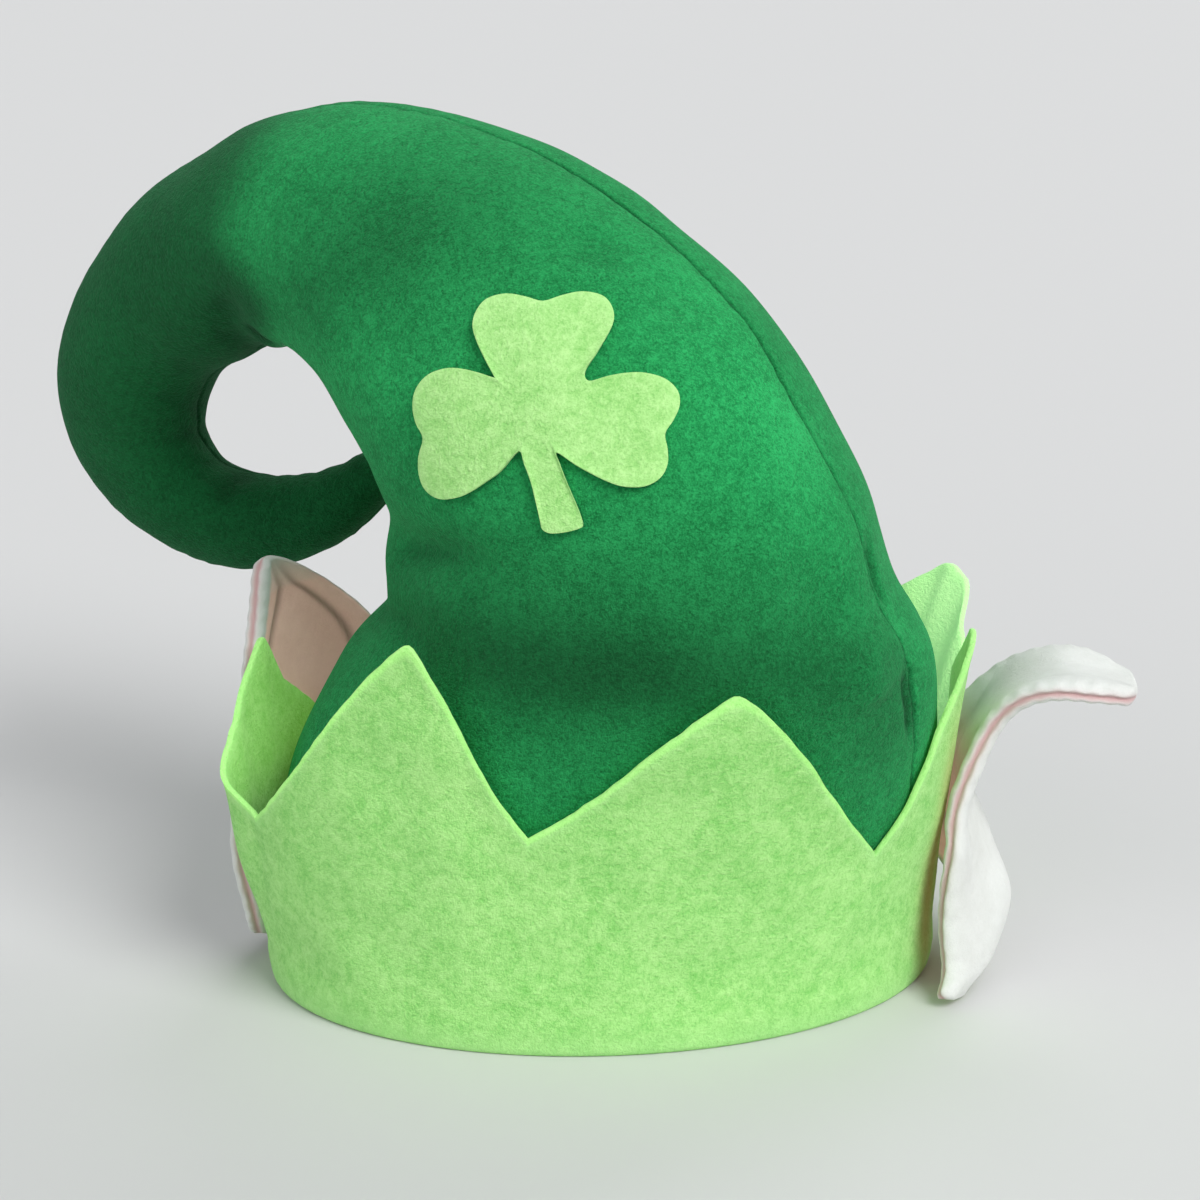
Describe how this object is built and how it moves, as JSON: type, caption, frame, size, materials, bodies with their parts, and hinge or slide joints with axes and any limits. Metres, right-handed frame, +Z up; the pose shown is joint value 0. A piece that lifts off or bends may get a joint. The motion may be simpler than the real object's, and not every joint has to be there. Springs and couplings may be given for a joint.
{
  "type": "leprechaun hat",
  "caption": "Sewn felt hat with a tall crown whose tip arches over and curls back, a toothed turned-up band, a pointed ear on each side and a shamrock on the front.",
  "frame": {"origin": "on the table the hat stands on, under the middle of its box", "axes": "+Z up out of the rim; +X along the rim's long axis, to the right of someone who faces the shamrock; -Y is the front, where the shamrock is. The crown's tip lies towards -X and +Y."},
  "size_m": [0.3576, 0.2462, 0.2856],
  "materials": {
    "crown_felt": "matt dark green felt with a soft nap",
    "band_felt": "matt light green felt, slightly mottled",
    "ear_felt": "matt near-white brushed fabric with pinkish seams",
    "shamrock_felt": "matt light green felt"
  },
  "bodies": {
    "root": {"crown_front": "crown_felt", "crown_back": "crown_felt", "band": "band_felt", "ear_left": "ear_felt", "ear_right": "ear_felt", "shamrock": "shamrock_felt"}
  },
  "joints": []
}
